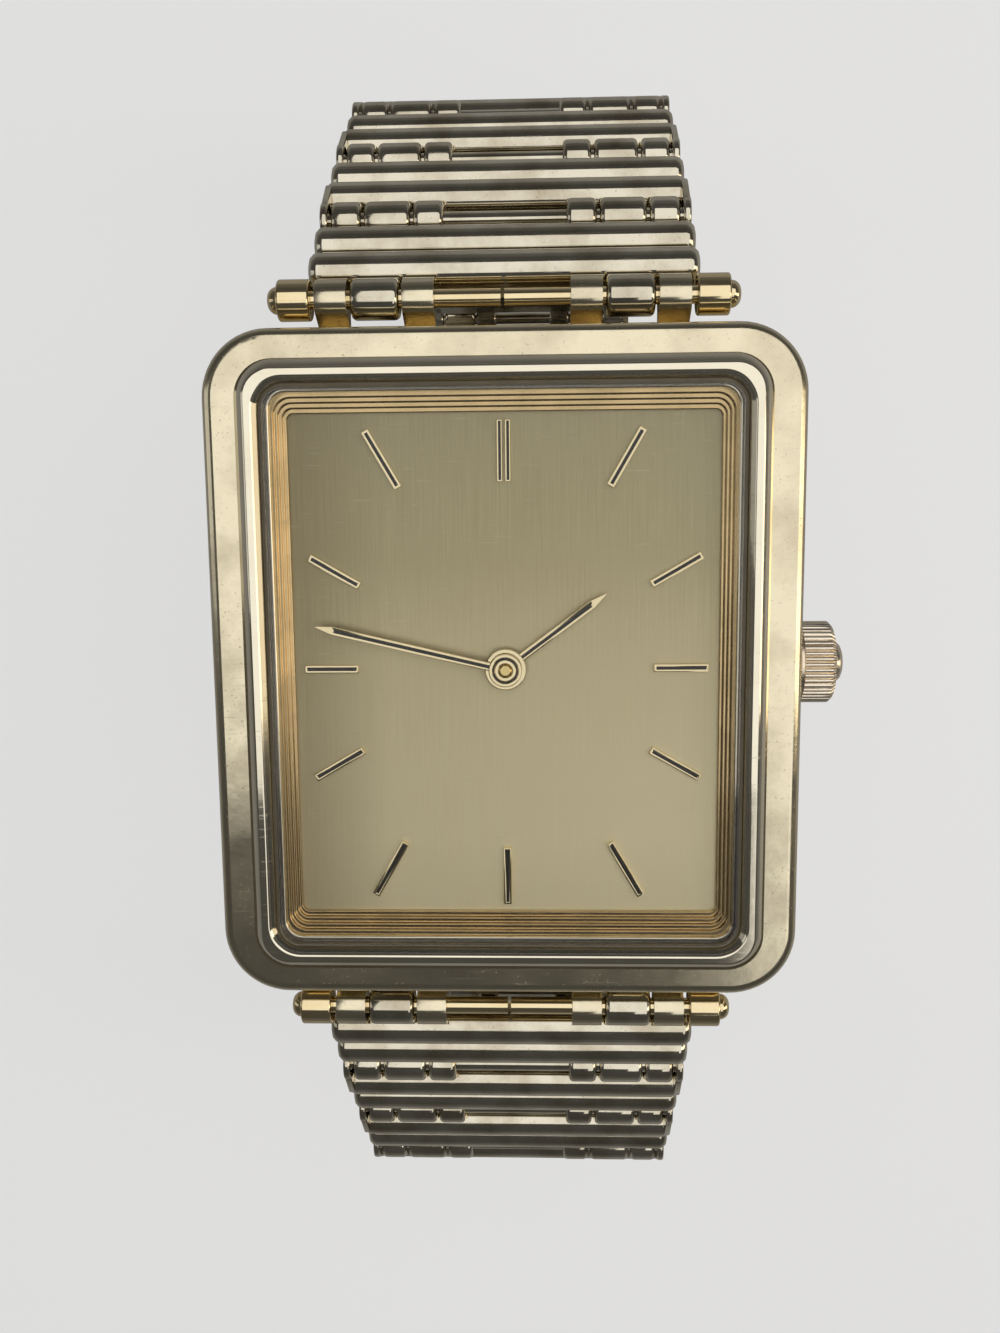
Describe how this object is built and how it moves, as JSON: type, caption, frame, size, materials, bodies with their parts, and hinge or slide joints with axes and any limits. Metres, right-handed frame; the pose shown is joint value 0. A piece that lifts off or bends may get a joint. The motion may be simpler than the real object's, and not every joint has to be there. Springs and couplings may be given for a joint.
{
  "type": "rectangular wristwatch",
  "caption": "Rectangular gold-tone quartz wristwatch with a baton dial, two hands, a crown and a ridged link bracelet closed by a folding clasp.",
  "frame": {"origin": "centre of the case back's outer face", "axes": "+Y towards 12 o'clock, +X towards the crown at 3 o'clock, +Z out of the dial"},
  "size_m": [0.0267, 0.0599, 0.0431],
  "materials": {
    "case_gold": "polished pale gold plating with light wear",
    "bezel_gold": "polished pale gold plating",
    "bracelet_gold": "polished pale gold plating, worn",
    "sleeve_gold": "polished yellow gold plating",
    "crown_gold": "polished gold plating",
    "ring_gold": "polished gold plating",
    "dial_champagne": "fine vertical satin grain",
    "hands_gold": "polished",
    "crystal_clear": "clear mineral glass",
    "gasket_clear": "translucent nylon",
    "gasket_black": "matte",
    "holder_white": "moulded",
    "movement_nickel": "fine brushed nickel",
    "wheel_brass": "machined",
    "steel": "turned",
    "battery_steel": "polished",
    "coil_copper": "enamelled wire",
    "board_green": "solder mask",
    "rotor_dark": "sintered magnet"
  },
  "bodies": {
    "case": {"case_middle": "case_gold", "case_back": "case_gold", "case_back_screws": "steel", "case_back_gasket": "gasket_black", "bezel": "bezel_gold", "crystal": "crystal_clear", "crystal_gasket": "gasket_clear", "dial_ring": "ring_gold", "dial": "dial_champagne", "dial_markers": "hands_gold", "movement_holder": "holder_white", "main_plate": "movement_nickel", "train_bridge": "movement_nickel", "movement_screws": "steel", "battery": "battery_steel", "battery_clip": "steel", "stator": "steel", "coil": "coil_copper", "circuit_board": "board_green", "quartz_can": "steel", "crown_tube": "steel", "lug_sleeves": "sleeve_gold", "lug_pins": "sleeve_gold"},
    "rotor": {"rotor": "rotor_dark"},
    "fifth_wheel": {"fifth_wheel": "wheel_brass"},
    "third_wheel": {"third_wheel": "wheel_brass"},
    "minute_shaft": {"centre_wheel": "wheel_brass", "minute_hand": "hands_gold"},
    "minute_wheel": {"minute_wheel": "wheel_brass"},
    "hour_shaft": {"hour_wheel": "wheel_brass", "hour_hand": "hands_gold"},
    "setting_lever": {"setting_lever": "movement_nickel"},
    "crown": {"crown": "crown_gold", "stem": "steel", "crown_gasket": "gasket_black"},
    "upper_link_1": {"upper_link_1": "bracelet_gold"},
    "upper_link_2": {"upper_link_2": "bracelet_gold"},
    "upper_link_3": {"upper_link_3": "bracelet_gold"},
    "upper_link_4": {"upper_link_4": "bracelet_gold"},
    "upper_link_5": {"upper_link_5": "bracelet_gold"},
    "upper_link_6": {"upper_link_6": "bracelet_gold"},
    "upper_link_7": {"upper_link_7": "bracelet_gold"},
    "upper_link_8": {"upper_link_8": "bracelet_gold"},
    "upper_link_9": {"upper_link_9": "bracelet_gold", "clasp_end_bar": "bracelet_gold"},
    "lower_link_1": {"lower_link_1": "bracelet_gold"},
    "lower_link_2": {"lower_link_2": "bracelet_gold"},
    "lower_link_3": {"lower_link_3": "bracelet_gold"},
    "lower_link_4": {"lower_link_4": "bracelet_gold"},
    "lower_link_5": {"lower_link_5": "bracelet_gold"},
    "lower_link_6": {"lower_link_6": "bracelet_gold"},
    "lower_link_7": {"lower_link_7": "bracelet_gold"},
    "lower_link_8": {"lower_link_8": "bracelet_gold"},
    "lower_link_9": {"lower_link_9": "bracelet_gold"},
    "clasp": {"clasp_blade": "bracelet_gold", "clasp_cover_pin": "steel"},
    "clasp_cover": {"clasp_cover": "bracelet_gold"}
  },
  "joints": [
    {"name": "minute_turn", "type": "hinge", "parent": "case", "child": "minute_shaft", "pos_m": [0, 0, 0.0026], "axis": [0, 0, -1], "continuous": true},
    {"name": "hour_turn", "type": "hinge", "parent": "case", "child": "hour_shaft", "pos_m": [0, 0, 0.0026], "axis": [0, 0, -1], "continuous": true},
    {"name": "minute_wheel_turn", "type": "hinge", "parent": "case", "child": "minute_wheel", "pos_m": [0.00184, -0.00154, 0.0026], "axis": [0, 0, -1], "continuous": true},
    {"name": "third_wheel_turn", "type": "hinge", "parent": "case", "child": "third_wheel", "pos_m": [-0.00161, -0.00229, 0.0026], "axis": [0, 0, -1], "continuous": true},
    {"name": "fifth_wheel_turn", "type": "hinge", "parent": "case", "child": "fifth_wheel", "pos_m": [-0.00397, -0.00316, 0.0026], "axis": [0, 0, -1], "continuous": true},
    {"name": "rotor_turn", "type": "hinge", "parent": "case", "child": "rotor", "pos_m": [-0.00463, -0.00496, 0.0026], "axis": [0, 0, -1], "continuous": true},
    {"name": "crown_pull", "type": "slide", "parent": "case", "child": "setting_lever", "axis": [1, 0, 0], "range_m": [0, 0.0006]},
    {"name": "crown_turn", "type": "hinge", "parent": "setting_lever", "child": "crown", "pos_m": [0.0139, 0, 0.0026], "axis": [1, 0, 0], "continuous": true},
    {"name": "upper_lug_hinge", "type": "hinge", "parent": "case", "child": "upper_link_1", "pos_m": [0, 0.0153, 0.0035], "axis": [1, 0, 0], "range_deg": [0, 47]},
    {"name": "upper_hinge_2", "type": "hinge", "parent": "upper_link_1", "child": "upper_link_2", "pos_m": [0, 0.01905, -0.00052], "axis": [1, 0, 0], "range_deg": [0, 5]},
    {"name": "upper_hinge_3", "type": "hinge", "parent": "upper_link_2", "child": "upper_link_3", "pos_m": [0, 0.02244, -0.00486], "axis": [1, 0, 0], "range_deg": [0, 5]},
    {"name": "upper_hinge_4", "type": "hinge", "parent": "upper_link_3", "child": "upper_link_4", "pos_m": [0, 0.02543, -0.00947], "axis": [1, 0, 0], "range_deg": [0, 19]},
    {"name": "upper_hinge_5", "type": "hinge", "parent": "upper_link_4", "child": "upper_link_5", "pos_m": [0, 0.02676, -0.01481], "axis": [1, 0, 0], "range_deg": [0, 15]},
    {"name": "upper_hinge_6", "type": "hinge", "parent": "upper_link_5", "child": "upper_link_6", "pos_m": [0, 0.02667, -0.02031], "axis": [1, 0, 0], "range_deg": [0, 15]},
    {"name": "upper_hinge_7", "type": "hinge", "parent": "upper_link_6", "child": "upper_link_7", "pos_m": [0, 0.02515, -0.02559], "axis": [1, 0, 0], "range_deg": [0, 15]},
    {"name": "upper_hinge_8", "type": "hinge", "parent": "upper_link_7", "child": "upper_link_8", "pos_m": [0, 0.02232, -0.03031], "axis": [1, 0, 0], "range_deg": [0, 17]},
    {"name": "upper_hinge_9", "type": "hinge", "parent": "upper_link_8", "child": "upper_link_9", "pos_m": [0, 0.01823, -0.03399], "axis": [1, 0, 0], "range_deg": [0, 18]},
    {"name": "lower_lug_hinge", "type": "hinge", "parent": "case", "child": "lower_link_1", "pos_m": [0, -0.0153, 0.0035], "axis": [-1, 0, 0], "range_deg": [0, 38]},
    {"name": "lower_hinge_2", "type": "hinge", "parent": "lower_link_1", "child": "lower_link_2", "pos_m": [0, -0.01963, 0.00011], "axis": [-1, 0, 0], "range_deg": [0, 4]},
    {"name": "lower_hinge_3", "type": "hinge", "parent": "lower_link_2", "child": "lower_link_3", "pos_m": [0, -0.02372, -0.00357], "axis": [-1, 0, 0], "range_deg": [0, 1]},
    {"name": "lower_hinge_4", "type": "hinge", "parent": "lower_link_3", "child": "lower_link_4", "pos_m": [0, -0.02774, -0.00732], "axis": [-1, 0, 0], "range_deg": [0, 19]},
    {"name": "lower_hinge_5", "type": "hinge", "parent": "lower_link_4", "child": "lower_link_5", "pos_m": [0, -0.03033, -0.01217], "axis": [-1, 0, 0], "range_deg": [0, 16]},
    {"name": "lower_hinge_6", "type": "hinge", "parent": "lower_link_5", "child": "lower_link_6", "pos_m": [0, -0.03147, -0.01755], "axis": [-1, 0, 0], "range_deg": [0, 15]},
    {"name": "lower_hinge_7", "type": "hinge", "parent": "lower_link_6", "child": "lower_link_7", "pos_m": [0, -0.03118, -0.02305], "axis": [-1, 0, 0], "range_deg": [0, 15]},
    {"name": "lower_hinge_8", "type": "hinge", "parent": "lower_link_7", "child": "lower_link_8", "pos_m": [0, -0.02948, -0.02828], "axis": [-1, 0, 0], "range_deg": [0, 16]},
    {"name": "lower_hinge_9", "type": "hinge", "parent": "lower_link_8", "child": "lower_link_9", "pos_m": [0, -0.02641, -0.03284], "axis": [-1, 0, 0], "range_deg": [0, 17.99]},
    {"name": "clasp_hinge", "type": "hinge", "parent": "lower_link_9", "child": "clasp", "pos_m": [0, -0.02207, -0.03622], "axis": [-1, 0, 0], "range_deg": [0, 38.01]},
    {"name": "clasp_cover_open", "type": "hinge", "parent": "clasp", "child": "clasp_cover", "pos_m": [0, -0.01829, -0.03662], "axis": [-1, 0, 0], "range_deg": [0, 120]}
  ],
  "couplings": [
    {"joint": "hour_turn", "follows": "minute_turn", "ratio": 0.083333},
    {"joint": "minute_wheel_turn", "follows": "minute_turn", "ratio": -0.33333},
    {"joint": "third_wheel_turn", "follows": "minute_turn", "ratio": -6},
    {"joint": "fifth_wheel_turn", "follows": "minute_turn", "ratio": 36},
    {"joint": "rotor_turn", "follows": "minute_turn", "ratio": -180},
    {"joint": "upper_hinge_2", "follows": "upper_lug_hinge", "ratio": 0.10638},
    {"joint": "upper_hinge_3", "follows": "upper_lug_hinge", "ratio": 0.10638},
    {"joint": "upper_hinge_4", "follows": "upper_lug_hinge", "ratio": 0.40425},
    {"joint": "upper_hinge_5", "follows": "upper_lug_hinge", "ratio": 0.31915},
    {"joint": "upper_hinge_6", "follows": "upper_lug_hinge", "ratio": 0.31915},
    {"joint": "upper_hinge_7", "follows": "upper_lug_hinge", "ratio": 0.31915},
    {"joint": "upper_hinge_8", "follows": "upper_lug_hinge", "ratio": 0.3617},
    {"joint": "upper_hinge_9", "follows": "upper_lug_hinge", "ratio": 0.38298},
    {"joint": "lower_hinge_2", "follows": "lower_lug_hinge", "ratio": 0.10526},
    {"joint": "lower_hinge_3", "follows": "lower_lug_hinge", "ratio": 0.026315},
    {"joint": "lower_hinge_4", "follows": "lower_lug_hinge", "ratio": 0.5},
    {"joint": "lower_hinge_5", "follows": "lower_lug_hinge", "ratio": 0.42105},
    {"joint": "lower_hinge_6", "follows": "lower_lug_hinge", "ratio": 0.39474},
    {"joint": "lower_hinge_7", "follows": "lower_lug_hinge", "ratio": 0.39474},
    {"joint": "lower_hinge_8", "follows": "lower_lug_hinge", "ratio": 0.42105},
    {"joint": "lower_hinge_9", "follows": "lower_lug_hinge", "ratio": 0.47329},
    {"joint": "clasp_hinge", "follows": "lower_lug_hinge", "ratio": 1.0004}
  ]
}
